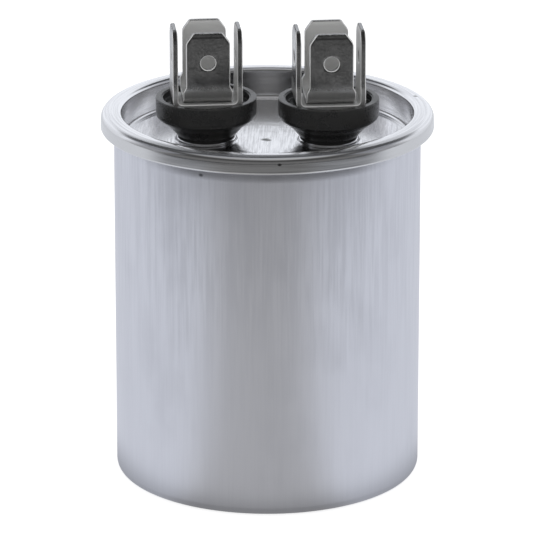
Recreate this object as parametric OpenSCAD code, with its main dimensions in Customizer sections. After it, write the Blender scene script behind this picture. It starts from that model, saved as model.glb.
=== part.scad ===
// Motor run capacitor with a round seamed can and two four-blade terminals.
// Millimetres. X runs along the two terminals, Z is up, the can stands on z = 0.

/* [Can] */
// Outside diameter of the can body
can_d = 44.45; // [42:0.05:52]
// Height from the foot to the top of the seam
can_h = 54.6; // [50:0.1:120]
// Sheet thickness of the can wall
can_t = 0.5; // [0.4:0.05:0.6]
// Thickness of the can floor
floor_t = 0.8; // [0.6:0.1:1.2]
// Outside radius around the foot
foot_r = 1.25; // [1.1:0.05:2.4]

/* [Seam] */
// Sheet thickness of the lid
lid_t = 0.5; // [0.4:0.05:0.6]
// Height of the rolled seam
seam_h = 2.65; // [2.6:0.05:3.4]
// Film of sealing compound between two layers of the seam
seam_gap = 0.14; // [0.08:0.01:0.16]
// Outside radius of the two top corners of the seam
seam_r = 0.8; // [0.65:0.05:0.9]
// How deep the seaming rolls press into the can wall at the foot of the seam
press_t = 0.1; // [0.05:0.05:0.15]

/* [Lid] */
// Depth of the lid panel below the top of the seam
recess_h = 4.6; // [3.8:0.1:6]
// Inside radius between the chuck wall and the panel
panel_r = 0.6; // [0.3:0.1:1.2]
// Distance between the two terminal axes
term_pitch = 17.72; // [16:0.02:20]
// Height of the raised boss around each terminal hole
boss_h = 0.5; // [0.3:0.05:0.8]
// Diameter of that boss
boss_d = 9.2; // [8.6:0.1:10]

/* [Insulator cup] */
// Outside diameter of the band at the top of the cup
cup_d = 14.6; // [13.8:0.1:15.6]
// Height of the cup above its gasket
cup_h = 5.6; // [4.8:0.1:7]
// Height of the straight band
cup_band_h = 2.8; // [2:0.1:3.2]
// Radius of the edge between the band and the cone
cup_edge_r = 1; // [0.4:0.1:1.6]
// Diameter of the foot of the cone
cup_foot_d = 8.5; // [7.8:0.1:9]
// Depth of the recess that the strips lie in
cup_recess_h = 1.1; // [0.9:0.05:1.6]
// Diameter of the spigot that goes through the lid
spigot_d = 6; // [5:0.1:6.4]
// Thickness of the gasket under the cup
gasket_t = 0.3; // [0.2:0.05:0.5]

/* [Blades] */
// Width of a blade
blade_w = 6.35; // [6:0.05:6.5]
// Sheet thickness of the strips
blade_t = 0.8; // [0.7:0.05:0.85]
// Height of the blade tips above the top of the cups
blade_h = 10.5; // [9.5:0.1:13]
// Width of each strip below the shoulders
strip_w = 7.1; // [6.8:0.05:7.2]
// Height of the shoulders above the top of the cups
shoulder_h = 2.3; // [1.8:0.1:3]
// Distance over the two legs of the upper strip
upper_span = 8.4; // [8:0.05:8.6]
// Distance over the two legs of the lower strip
lower_span = 10.1; // [10:0.05:10.2]
// Inside bend radius of the upper strip
upper_bend_r = 1.8; // [1:0.1:1.9]
// Inside bend radius of the lower strip
lower_bend_r = 0.6; // [0.4:0.05:0.65]
// Width of the cut at each corner of a tip
tip_cut_w = 1.05; // [0.6:0.05:1.6]
// Height of the cut at each corner of a tip
tip_cut_h = 1.45; // [0.8:0.05:2]
// Diameter of the detent hole
detent_d = 2.1; // [1.6:0.05:2.4]
// Distance from the tip to the centre of the detent hole
detent_drop = 4.4; // [3.6:0.1:5]
// Turn of both terminals about their own axes, in degrees
term_turn = 7; // [0:1:15]

/* [Hidden parts] */
// Diameter of the rivet shank
rivet_d = 2.6; // [2.2:0.1:2.8]
// Thickness of the flange of the inner bushing
bushing_t = 1.5; // [1:0.1:2]
// Thickness of the interrupter disc
disc_t = 1.6; // [1.2:0.1:2]
// Height of the free space between the roll and the disc
head_room = 4.8; // [4.2:0.1:6]
// Outside diameter of the core tube
core_d = 8; // [7:0.1:10]
// Thickness of the lead strips
lead_t = 0.3; // [0.2:0.05:0.4]
// Width of the lead strips
lead_w = 3; // [2.6:0.1:3.2]
// Distance from the rivet to the upright run of each lead
lead_run = 4; // [3.6:0.1:4.6]
// How far each lead reaches past the rivet
lead_past = 2; // [1.8:0.1:2.4]
// Thickness of the washer under each rivet's tail
washer_t = 0.5; // [0.4:0.05:0.7]
// Width of that washer's ring
washer_w = 1.6; // [1.4:0.1:1.8]

/* [Hidden] */
$fn = 96;
// Running clearance between fitted parts
fit = 0.05;
// Loose clearance between the roll's parts and the can
slack = 0.2;

// Radii of the five layers of the seam, from the chuck wall outwards
wall_or = can_d / 2;
wall_ir = wall_or - can_t;
chuck_or = wall_ir - seam_gap;
chuck_ir = chuck_or - lid_t;
cover_ir = wall_or + seam_gap;
cover_or = cover_ir + lid_t;
hook_ir = cover_or + seam_gap;
hook_or = hook_ir + can_t;
seam_ir = hook_or + seam_gap;
seam_or = seam_ir + lid_t;

// Bend of the can's flange, over the cover hook
flange_ri = (hook_ir - wall_or) / 2;
flange_ro = flange_ri + can_t;
flange_r = (hook_ir + wall_or) / 2;
flange_z = can_h - lid_t - seam_gap - flange_ro;
// Bend of the lid's edge, under the body hook
curl_ri = (seam_ir - cover_or) / 2;
curl_ro = curl_ri + lid_t;
curl_r = (seam_ir + cover_or) / 2;
curl_z = can_h - seam_h + curl_ro;
// Ends of the two hooks, just short of the bend that holds them
hook_end_z = curl_z - sqrt(seam_gap * (seam_gap + can_t)) + fit;
cover_end_z = flange_z + sqrt(seam_gap * (seam_gap + lid_t)) - fit;
// The pressed part of the wall: it begins just below the seam and is deepest at the seam's foot
press_z = can_h - seam_h - 5 * fit;
seam_foot_z = can_h - seam_h;

// Levels of the lid and the terminals
panel_z = can_h - recess_h;
boss_z = panel_z + boss_h;
boss_edge_r = 0.35 * boss_h / 0.5;
boss_foot_r = boss_h - boss_edge_r;
boss_top_r = boss_d / 2 - boss_foot_r - boss_edge_r;
hole_r = spigot_d / 2 + 2 * fit;
cup_z = boss_z + gasket_t;
cup_top_z = cup_z + cup_h;
recess_z = cup_top_z - cup_recess_h;
recess_r = norm([lower_span / 2, strip_w / 2]) + 1.5 * fit;
step_r = recess_r + 0.2;
lower_z = recess_z;
upper_z = lower_z + blade_t;
tip_z = cup_top_z + blade_h;
shoulder_z = cup_top_z + shoulder_h;

// Levels below the lid
under_z = panel_z - lid_t;
disc_z = under_z - bushing_t - disc_t;
washer_z = disc_z - washer_t;
eye_z = washer_z - lead_t;
tail_t = 0.5;
shank_r = rivet_d / 2;
bore_r = shank_r + fit;
spigot_z = under_z - bushing_t / 2;
bushing_r = 6;

// Levels and radii of the roll
pad_t = 1.2;
spray_t = 0.6;
roll_z = floor_t + pad_t + spray_t;
roll_top_z = disc_z - head_room;
roll_r = wall_ir - 2 * slack - 1.3;
wrap_t = 0.4;
liner_r = wall_ir - slack;
liner_ir = roll_r + wrap_t + slack;
core_or = core_d / 2;
core_ir = core_or - 1;
sleeve_or = core_ir - slack;
sleeve_ir = sleeve_or - 0.6;

// Node to build, or all

// ---- profiles, drawn with x as the radius and y as the height ----

// Upright block from r0 to r1 and z0 to z1 with both top corners rounded
module arch(r0, r1, z0, z1, c) {
    translate([r0, z0]) square([r1 - r0, z1 - z0 - c]);
    translate([r0 + c, z0]) square([r1 - r0 - 2 * c, z1 - z0]);
    for (r = [r0 + c, r1 - c])
        translate([r, z1 - c]) circle(c);
}

// Half section of a pot: its bottom corner is rounded
module pot(r, z0, z1, c) {
    translate([0, z0]) square([r - c, z1 - z0]);
    translate([0, z0 + c]) square([r, z1 - z0 - c]);
    translate([r - c, z0 + c]) circle(c);
}

// Half ring above (up = 1) or below (up = -1) its centre
module half_ring(ri, ro, up) {
    intersection() {
        difference() {
            circle(ro);
            circle(ri);
        }
        translate([-ro, up > 0 ? 0 : -ro]) square([2 * ro, ro]);
    }
}

// Quarter ring, on the outer lower side of its centre
module quarter_ring(ri, ro) {
    intersection() {
        difference() {
            circle(ro);
            circle(ri);
        }
        translate([0, -ro]) square(ro);
    }
}

// Flat strip along a list of points, with its outer corners rounded
module strip_path(points, t) {
    for (i = [0 : len(points) - 2]) {
        a = points[i];
        b = points[i + 1];
        translate(a)
            rotate(atan2(b.y - a.y, b.x - a.x))
                translate([0, -t / 2]) square([norm(b - a), t]);
    }
    for (i = [1 : len(points) - 2])
        translate(points[i]) circle(d = t);
}

// ---- can and lid ----

module can() {
    color([0.74, 0.75, 0.78])
    rotate_extrude() {
        difference() {
            pot(wall_or, 0, flange_z, foot_r);
            pot(wall_ir, floor_t, flange_z + 1, foot_r - can_t);
            polygon([
                [wall_or, press_z], [wall_or - press_t, seam_foot_z],
                [wall_or, flange_z], [wall_or + 1, flange_z], [wall_or + 1, press_z]
            ]);
        }
        translate([flange_r, flange_z]) half_ring(flange_ri, flange_ro, 1);
        translate([hook_ir, hook_end_z]) square([can_t, flange_z - hook_end_z]);
    }
}

// Seaming panel, cover hook and chuck wall, down to the flat panel
module lid_profile() {
    difference() {
        arch(chuck_ir, seam_or, curl_z, can_h, seam_r);
        arch(chuck_or, seam_ir, curl_z - 1, can_h - lid_t, seam_r - lid_t);
    }
    translate([curl_r, curl_z]) half_ring(curl_ri, curl_ro, -1);
    translate([cover_ir, curl_z]) square([lid_t, cover_end_z - curl_z]);
    translate([chuck_ir, panel_z + panel_r]) square([lid_t, curl_z - panel_z - panel_r]);
    translate([chuck_ir - panel_r, panel_z + panel_r]) quarter_ring(panel_r, panel_r + lid_t);
    translate([0, under_z]) square([chuck_ir - panel_r, lid_t]);
}

// Outside of a raised boss: a rounded edge above and a small fillet at the foot
module boss_profile() {
    r = boss_d / 2 - boss_foot_r;
    square([r, boss_h - boss_edge_r]);
    square([r - boss_edge_r, boss_h]);
    translate([r - boss_edge_r, boss_h - boss_edge_r]) circle(boss_edge_r);
    difference() {
        translate([r - fit, -lid_t / 2]) square([boss_foot_r + fit, boss_foot_r + lid_t / 2]);
        translate([r + boss_foot_r, boss_foot_r]) circle(boss_foot_r);
    }
}

module lid() {
    color([0.78, 0.79, 0.81])
    difference() {
        union() {
            rotate_extrude() lid_profile();
            at_terminals() translate([0, 0, panel_z]) rotate_extrude() boss_profile();
        }
        at_terminals() {
            translate([0, 0, under_z - 1]) cylinder(r = boss_d / 2 - lid_t, h = boss_h + 1);
            translate([0, 0, panel_z]) cylinder(r = hole_r, h = 2 * boss_h);
        }
    }
}

// Pool of compound between the lid's channel and the can's flange
module seam_compound() {
    color([0.3, 0.3, 0.32])
    rotate_extrude()
        difference() {
            arch(chuck_or, seam_ir, curl_z, can_h - lid_t, seam_r - lid_t);
            translate([wall_ir, curl_z - 1]) square([hook_or - wall_ir, flange_z - curl_z + 1]);
            translate([flange_r, flange_z]) circle(flange_ro);
        }
}

// ---- terminals ----

module at_terminals() {
    for (s = [-1, 1])
        at_terminal(s) children();
}

// side is -1 for the left terminal and 1 for the right one
module at_terminal(side) {
    translate([side * term_pitch / 2, 0, 0]) rotate(term_turn) children();
}

module insulator_cup(side) {
    r = cup_d / 2;
    foot = cup_foot_d / 2;
    edge = 0.15;
    // Corner between band and cone, rounded by a circle that touches both
    band_z = cup_top_z - cup_band_h;
    // The cone is slightly hollow: its middle lies inside a straight line
    waist = [(foot + r) / 2 - 0.1 * (r - foot), (cup_z + band_z) / 2];
    slope = atan2(r - waist.x, band_z - waist.y);
    cut = cup_edge_r * tan(slope / 2);
    color([0.11, 0.11, 0.12])
    at_terminal(side)
    rotate_extrude()
        difference() {
            union() {
                polygon([
                    [0, cup_z], [foot, cup_z], waist,
                    [r - cut * sin(slope), band_z - cut * cos(slope)], [r, band_z + cut],
                    [r, cup_top_z - edge], [r - edge, cup_top_z], [0, cup_top_z]
                ]);
                translate([r - cup_edge_r, band_z + cut]) circle(cup_edge_r);
                translate([0, spigot_z]) square([spigot_d / 2, cup_z - spigot_z + fit]);
            }
            translate([-1, recess_z]) square([recess_r + 1, cup_h]);
            translate([-1, cup_top_z - 0.15]) square([step_r + 1, cup_h]);
            translate([-1, spigot_z - 1]) square([bore_r + 1, cup_h * 2]);
        }
}

module cup_gasket(side) {
    color([0.2, 0.2, 0.2])
    at_terminal(side)
    translate([0, 0, boss_z])
    rotate_extrude()
        translate([hole_r, 0]) square([min(cup_foot_d / 2, boss_top_r) - hole_r, gasket_t]);
}

// Section of a U strip: x across its legs, y upwards from the base's underside
module strip_section(span, bend_r, h) {
    ro = bend_r + blade_t;
    lead = 0.25 * blade_t;
    for (m = [0, 1])
        mirror([m, 0]) {
            translate([span / 2 - ro, ro]) quarter_ring(bend_r, ro);
            translate([0, 0]) square([span / 2 - ro + fit / 10, blade_t]);
            polygon([
                [span / 2 - blade_t, ro - fit / 10], [span / 2, ro - fit / 10],
                [span / 2, h - 2 * lead], [span / 2 - lead, h],
                [span / 2 - blade_t + lead, h], [span / 2 - blade_t, h - 2 * lead]
            ]);
        }
}

// Outline of one side of a strip from its shoulder to its tip: across, up
function blade_side(z0) = [
    [strip_w / 2, shoulder_z - z0 - 0.5],
    [blade_w / 2, shoulder_z - z0 + 0.2],
    [blade_w / 2, tip_z - z0 - tip_cut_h],
    [blade_w / 2 - tip_cut_w, tip_z - z0]
];

function mirrored(pts) = [for (i = [len(pts) - 1 : -1 : 0]) [-pts[i].x, pts[i].y]];

module strip_outline(z0) {
    side = blade_side(z0);
    polygon(concat([[strip_w / 2, -1]], side, mirrored(side), [[-strip_w / 2, -1]]));
}

// Cuts a bevel of width w along the edge from a to b, on the face at z = 0
module edge_bevel(a, b, w) {
    translate([a.x, a.y, 0])
        rotate(atan2(b.y - a.y, b.x - a.x))
            rotate([90, 0, 90])
                linear_extrude(norm(b - a))
                    polygon([[1.5 * w, -w / 2], [-w / 2, 1.5 * w], [-w / 2, -w / 2]]);
}

// Bevels both long edges and corner cuts of one blade, on both faces
module blade_bevels(z0) {
    side = blade_side(z0);
    w = 0.18;
    for (m = [0, 1], face = [0, 1])
        mirror([m, 0, 0])
            translate([0, 0, face * blade_t])
                mirror([0, 0, face])
                    for (i = [1, 2])
                        edge_bevel(side[i], side[i + 1] + (i == 1 ? [0, 0.01] : [0, 0]), w);
}

// One stamped and folded strip, its legs along +X and -X
module blade_strip(span, bend_r, z0) {
    h = tip_z - z0;
    translate([0, 0, z0])
    difference() {
        intersection() {
            rotate([90, 0, 0])
                translate([0, 0, -strip_w / 2])
                    linear_extrude(strip_w) strip_section(span, bend_r, h);
            rotate([90, 0, 90])
                translate([0, 0, -span])
                    linear_extrude(2 * span) strip_outline(z0);
        }
        for (m = [0, 1])
            mirror([m, 0, 0])
                translate([span / 2 - blade_t, 0, 0])
                    rotate([90, 0, 90]) blade_bevels(z0);
        translate([-span, 0, h - detent_drop])
            rotate([0, 90, 0]) cylinder(d = detent_d, h = 2 * span);
        translate([0, 0, -1]) cylinder(r = bore_r, h = blade_t + 2);
    }
}

module lower_blades(side) {
    color([0.72, 0.72, 0.73])
    at_terminal(side) blade_strip(lower_span, lower_bend_r, lower_z);
}

module upper_blades(side) {
    color([0.72, 0.72, 0.73])
    at_terminal(side) rotate(90) blade_strip(upper_span, upper_bend_r, upper_z);
}

// Domed head on the upper strip, shank, and tail clenched under the lead's eye
module rivet(side) {
    head_z = upper_z + blade_t;
    head_r = upper_span / 2 - blade_t - upper_bend_r + 0.1;
    head_h = 0.8;
    color([0.6, 0.6, 0.61])
    at_terminal(side)
    rotate_extrude() {
        translate([0, head_z]) square([max(head_r, bore_r + 0.3) - head_h / 2, head_h]);
        translate([0, head_z]) square([max(head_r, bore_r + 0.3), head_h / 2]);
        translate([max(head_r, bore_r + 0.3) - head_h / 2, head_z + head_h / 2]) circle(head_h / 2);
        translate([0, eye_z - tail_t]) square([shank_r, head_z + fit - eye_z + tail_t]);
        translate([0, eye_z - tail_t]) square([shank_r + 0.6, tail_t]);
    }
}

module rivet_washer(side) {
    color([0.66, 0.62, 0.5])
    at_terminal(side)
    translate([0, 0, washer_z])
    difference() {
        cylinder(r = shank_r + washer_w, h = washer_t);
        translate([0, 0, -1]) cylinder(r = bore_r, h = washer_t + 2);
    }
}

// Shoulder washer: its collar fills the boss and holds the cup's spigot
module inner_bushing(side) {
    color([0.32, 0.24, 0.18])
    at_terminal(side)
    rotate_extrude()
        difference() {
            union() {
                translate([0, under_z - bushing_t]) square([bushing_r, bushing_t]);
                translate([0, under_z - fit]) square([boss_d / 2 - lid_t - fit, boss_h + fit]);
            }
            translate([-1, spigot_z - fit]) square([hole_r + 1, bushing_t + boss_h + 1]);
            translate([-1, under_z - bushing_t - 1]) square([bore_r + 1, bushing_t + 2]);
        }
}

// ---- inside the can ----

module interrupter_disc() {
    vents = 6;
    color([0.42, 0.3, 0.2])
    translate([0, 0, disc_z])
    difference() {
        cylinder(r = wall_ir - 1, h = disc_t);
        for (s = [-1, 1])
            translate([s * term_pitch / 2, 0, -1]) cylinder(r = bore_r, h = disc_t + 2);
        for (i = [0 : vents - 1])
            rotate(90 + i * 360 / vents)
                translate([wall_ir * 0.72, 0, -1]) cylinder(d = 3, h = disc_t + 2);
    }
}

module top_spacer() {
    color([0.86, 0.86, 0.82])
    translate([0, 0, roll_top_z])
    difference() {
        cylinder(r = wall_ir - 1, h = head_room);
        translate([0, 0, -1]) cylinder(r = wall_ir - 3, h = head_room + 2);
    }
}

// Strip standing in the XZ plane, with an eye for the rivet at x = eye
module lead(points, eye) {
    difference() {
        rotate([90, 0, 0])
            translate([0, 0, -lead_w / 2])
                linear_extrude(lead_w) strip_path(points, lead_t);
        translate([eye, 0, eye_z - 1]) cylinder(r = shank_r + fit, h = lead_t + 2);
    }
}

module upper_lead() {
    x = -term_pitch / 2;
    color([0.75, 0.5, 0.35])
    lead([
        [x + lead_past, eye_z + lead_t / 2],
        [x - lead_run, eye_z + lead_t / 2],
        [x - lead_run, roll_top_z + lead_t / 2],
        [x + lead_past / 2, roll_top_z + lead_t / 2]
    ], x);
}

module lower_lead() {
    x = term_pitch / 2;
    rise_z = roll_top_z + head_room / 3;
    color([0.75, 0.5, 0.35])
    lead([
        [x + lead_past, eye_z + lead_t / 2],
        [x - lead_run, eye_z + lead_t / 2],
        [x - lead_run, rise_z],
        [0, rise_z],
        [0, floor_t + pad_t - lead_t / 2],
        [x, floor_t + pad_t - lead_t / 2]
    ], x);
}

// Upright tube between two radii
module tube(ri, ro, z0, z1) {
    translate([0, 0, z0])
        rotate_extrude()
            translate([ri, 0]) square([ro - ri, z1 - z0]);
}

module lead_sleeve() {
    color([0.9, 0.88, 0.8])
    tube(sleeve_ir, sleeve_or, roll_z, roll_top_z);
}

module core_tube() {
    color([0.9, 0.9, 0.88])
    tube(core_ir, core_or, floor_t + pad_t, roll_top_z);
}

module winding() {
    color([0.62, 0.63, 0.66])
    tube(core_or, roll_r, roll_z, roll_top_z - spray_t);
}

module end_spray_top() {
    color([0.6, 0.61, 0.62])
    tube(core_or, roll_r, roll_top_z - spray_t, roll_top_z);
}

module end_spray_bottom() {
    color([0.6, 0.61, 0.62])
    tube(core_or, roll_r, roll_z - spray_t, roll_z);
}

module outer_wrap() {
    color([0.85, 0.85, 0.8])
    tube(roll_r, roll_r + wrap_t, roll_z - spray_t, roll_top_z);
}

// Cup under the roll, with a channel in its floor for the lower lead's foot
module bottom_cup() {
    wall_h = 10;
    color([0.9, 0.9, 0.86])
    difference() {
        rotate_extrude()
            difference() {
                pot(liner_r, floor_t, floor_t + wall_h, foot_r);
                translate([-1, floor_t + pad_t]) square([liner_ir + 1, wall_h]);
            }
        translate([-lead_w / 2, -lead_w / 2 - fit, floor_t + pad_t - lead_t - fit])
            cube([term_pitch / 2 + lead_w, lead_w + 2 * fit, 2 * lead_t]);
    }
}

can();
lid();
seam_compound();
insulator_cup(-1);  // insulator_cup_left
insulator_cup(1);  // insulator_cup_right
cup_gasket(-1);  // cup_gasket_left
cup_gasket(1);  // cup_gasket_right
lower_blades(-1);  // lower_blades_left
lower_blades(1);  // lower_blades_right
upper_blades(-1);  // upper_blades_left
upper_blades(1);  // upper_blades_right
rivet(-1);  // rivet_left
rivet(1);  // rivet_right
rivet_washer(-1);  // rivet_washer_left
rivet_washer(1);  // rivet_washer_right
inner_bushing(-1);  // inner_bushing_left
inner_bushing(1);  // inner_bushing_right
interrupter_disc();
top_spacer();
upper_lead();
lower_lead();
lead_sleeve();
winding();
core_tube();
end_spray_top();
end_spray_bottom();
outer_wrap();
bottom_cup();
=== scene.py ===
import math

import bmesh
import bpy
from bpy.props import FloatProperty, FloatVectorProperty, IntProperty, PointerProperty
from mathutils import Matrix, Vector


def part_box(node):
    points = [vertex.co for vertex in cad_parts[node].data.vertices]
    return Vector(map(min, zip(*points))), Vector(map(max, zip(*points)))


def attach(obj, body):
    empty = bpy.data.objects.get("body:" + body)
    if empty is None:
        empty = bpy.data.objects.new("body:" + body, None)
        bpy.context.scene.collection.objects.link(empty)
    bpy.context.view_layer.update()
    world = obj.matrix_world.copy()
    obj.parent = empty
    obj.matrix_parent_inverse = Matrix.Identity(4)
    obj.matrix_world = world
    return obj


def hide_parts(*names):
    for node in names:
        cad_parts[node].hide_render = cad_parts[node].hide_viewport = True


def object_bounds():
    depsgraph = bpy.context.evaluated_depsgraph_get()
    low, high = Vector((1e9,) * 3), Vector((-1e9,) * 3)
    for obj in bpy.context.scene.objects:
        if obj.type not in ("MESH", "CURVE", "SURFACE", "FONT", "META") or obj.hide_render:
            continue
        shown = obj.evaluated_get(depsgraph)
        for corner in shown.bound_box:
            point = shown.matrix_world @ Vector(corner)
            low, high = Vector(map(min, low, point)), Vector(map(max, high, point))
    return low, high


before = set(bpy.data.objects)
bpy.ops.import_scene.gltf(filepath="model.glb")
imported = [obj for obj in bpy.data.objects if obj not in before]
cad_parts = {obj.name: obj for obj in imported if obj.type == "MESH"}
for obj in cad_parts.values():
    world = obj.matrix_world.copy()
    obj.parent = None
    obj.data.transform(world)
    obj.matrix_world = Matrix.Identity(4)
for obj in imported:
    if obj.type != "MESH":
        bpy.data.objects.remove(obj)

bl_info = {
    "name": "Motor Run Capacitor",
    "version": (1, 0, 0),
    "blender": (4, 5, 0),
    "location": "3D View > Sidebar > Capacitor",
    "description": "Dresses the solids of a round motor run capacitor and sets up a plain studio",
    "category": "Object",
}

MM = 0.001
SIDES = ("left", "right")

# What the frame's own solids measure: the pieces are built to these sizes
CAD_LO, CAD_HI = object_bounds()
CAN_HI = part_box("can")[1]
LID_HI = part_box("lid")[1]
CUP_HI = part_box("insulator_cup_left")[1]
UPPER_LO, UPPER_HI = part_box("upper_blades_left")

# Points closer than this, in metres, are one point; rows of a flat blank are told apart ten times finer
SAME = 1e-6
ROW = 1e-7
# A vector times this lies flat
FLAT = (1.0, 1.0, 0.0)
WHITE = (1.0, 1.0, 1.0)
# Facets round a raised ring of the lid, and round a rivet
RING_STEPS = 96
RIVET_STEPS = 64
# A cut end of a folded or curled sheet has this radius
CUT_ROUND = 0.04 * MM


def srgb(code):
    """Linear colour of a six-digit sRGB hex value."""
    parts = [int(code[i : i + 2], 16) / 255 for i in (0, 2, 4)]
    return tuple(p / 12.92 if p <= 0.04045 else ((p + 0.055) / 1.055) ** 2.4 for p in parts)


def length(label, what, value):
    """A size in metres."""
    return FloatProperty(
        name=label, description=what, default=value, min=0.0, subtype="DISTANCE", unit="LENGTH", precision=5
    )


def angle(label, what, degrees):
    """An angle, given in degrees."""
    return FloatProperty(
        name=label, description=what, default=math.radians(degrees), subtype="ANGLE", unit="ROTATION"
    )


def amount(label, what, value):
    """A strength or a share, never below zero."""
    return FloatProperty(name=label, description=what, default=value, min=0.0)


def colour(label, what, code):
    """A colour, given as an sRGB hex value."""
    return FloatVectorProperty(
        name=label, description=what, default=srgb(code), size=3, min=0.0, max=1.0, subtype="COLOR"
    )


class CAPACITOR_PG_shell(bpy.types.PropertyGroup):
    """Sizes and finish of the drawn can and the seamed lid."""

    can_sheet: length("Can sheet", "Thickness of the can's wall", 0.5 * MM)
    lid_sheet: length("Lid sheet", "Thickness of the lid's sheet", 0.5 * MM)
    base_sheet: length("Base", "Thickness of the can's flat bottom", 0.8 * MM)
    foot_round: length("Foot radius", "Radius of the can's bottom edge", 1.25 * MM)
    seam_height: length("Seam height", "Height of the double seam", 2.65 * MM)
    seam_gap: length("Seam gap", "Gap between the layers of the seam", 0.14 * MM)
    seam_round: length("Seam radius", "Radius of the seam's upper edges", 0.8 * MM)
    panel_depth: length("Panel depth", "Depth of the flat panel below the seam's top", 4.6 * MM)
    panel_round: length("Panel radius", "Radius at the foot of the chuck wall", 0.6 * MM)
    taper: angle("Seam taper", "How far the seam's outer wall leans in", 2)
    crown: angle("Crown", "Slope of the seam's rounded top towards both sides", 10)
    boss_height: length("Boss height", "Height of the raised ring round each terminal", 0.5 * MM)
    boss_radius: length("Boss radius", "Outside radius of the raised ring", 4.45 * MM)
    boss_round: length("Boss edge", "Radius of the ring's upper edge", 0.35 * MM)
    hole_radius: length("Hole radius", "Radius of the lid's terminal hole", 3.1 * MM)
    waviness: length("Waviness", "How far the drawn sheet strays from a true cylinder", 0.012 * MM)
    steps: IntProperty(name="Steps", description="Facets round the can", default=288, min=48)
    can_colour: colour("Can", "Brushed aluminium", "E0E1E8")
    can_dull: colour("Can, dull streaks", "Aluminium between the bright draw lines", "D6D7DE")
    lid_colour: colour("Lid", "Rolled aluminium", "F3F3F4")
    wall_colour: colour("Seam wall", "Aluminium pressed by the seaming rolls", "D6D6D7")
    lid_dull: colour("Lid, dull", "Aluminium between the lid's bright lines", "E4E4E6")


class CAPACITOR_PG_terminals(bpy.types.PropertyGroup):
    """Sizes and finish of the cups, blades and rivets."""

    cup_foot: length("Cup foot", "Radius of the cup's foot", 4.25 * MM)
    cup_band: length("Cup band", "Height of the straight band under the cup's top", 2.8 * MM)
    cup_edge: length("Band radius", "Radius between band and cone", 1.0 * MM)
    cup_recess: length("Recess", "Depth of the recess in the cup's top", 1.1 * MM)
    recess_radius: length("Recess radius", "Radius of the recess", 6.248 * MM)
    spigot: length("Spigot radius", "Radius of the cup's spigot, in the lid", 3.0 * MM)
    bore: length("Bore radius", "Radius of the rivet's hole", 1.35 * MM)
    sheet: length("Strip sheet", "Thickness of the blade strip", 0.8 * MM)
    blade_width: length("Blade width", "Width of a blade", 6.35 * MM)
    strip_width: length("Strip width", "Width of the strip below the shoulders", 7.1 * MM)
    shoulder: length("Shoulder", "Height of the shoulders above the cup's top", 2.3 * MM)
    cut_width: length("Corner cut width", "Width of the cut at each tip corner", 1.05 * MM)
    tip_round: length("Tip rounding", "Radius at the lower end of the corner cut", 1.1 * MM)
    cut_height: length("Corner cut height", "Height of the cut at each tip corner", 1.45 * MM)
    detent_drop: length("Detent drop", "Distance of the detent hole below the tip", 4.4 * MM)
    detent_radius: length("Detent radius", "Radius of the detent hole", 1.05 * MM)
    upper_span: length("Upper span", "Width over the upper strip's legs", 8.4 * MM)
    lower_span: length("Lower span", "Width over the lower strip's legs", 10.1 * MM)
    upper_bend: length("Upper bend", "Inner bend radius of the upper strip", 1.8 * MM)
    # This also sets how much painted light, a pale colour, the outside of a bend carries
    bend_dull_painted_light: FloatProperty(
        name="Bend, dull", description="How dull the outside of a bend is", default=0.5, min=0.0, max=1.0
    )
    lower_bend: length("Lower bend", "Inner bend radius of the lower strip", 0.6 * MM)
    edge: length("Edge break", "Width of the rounded edge of the stamped strip", 0.16 * MM)
    turn: angle("Turn", "How far both terminals stand turned in the lid", 7)
    rivet_radius: length("Rivet head", "Radius of the rivet's head", 1.7 * MM)
    rivet_height: length("Head height", "Height of the rivet's head", 0.8 * MM)
    shank_radius: length("Shank", "Radius of the rivet's shank", 1.3 * MM)
    steps: IntProperty(name="Steps", description="Facets round a cup", default=160, min=32)
    strip_colour: colour("Strip", "Bright tin plate", "979797")
    # Painted light: a pale colour on the strips' inner faces and bends
    strip_matt_painted_light: colour("Strip, matt", "Tin inside the folds and over the bends", "CECECD")
    # Painted highlight: a near-white colour on the stamped edges
    strip_edge_painted_highlight: colour("Strip, edge", "Stamped edge, worn bright", "F8F8F7")
    strip_dull: colour("Strip, dull", "Tin plate in the grain's hollows", "767676")
    cup_colour: colour("Cup", "Black moulded plastic", "2D2D2D")
    rivet_colour: colour("Rivet", "Nickel plate", "C9C6BF")


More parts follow.
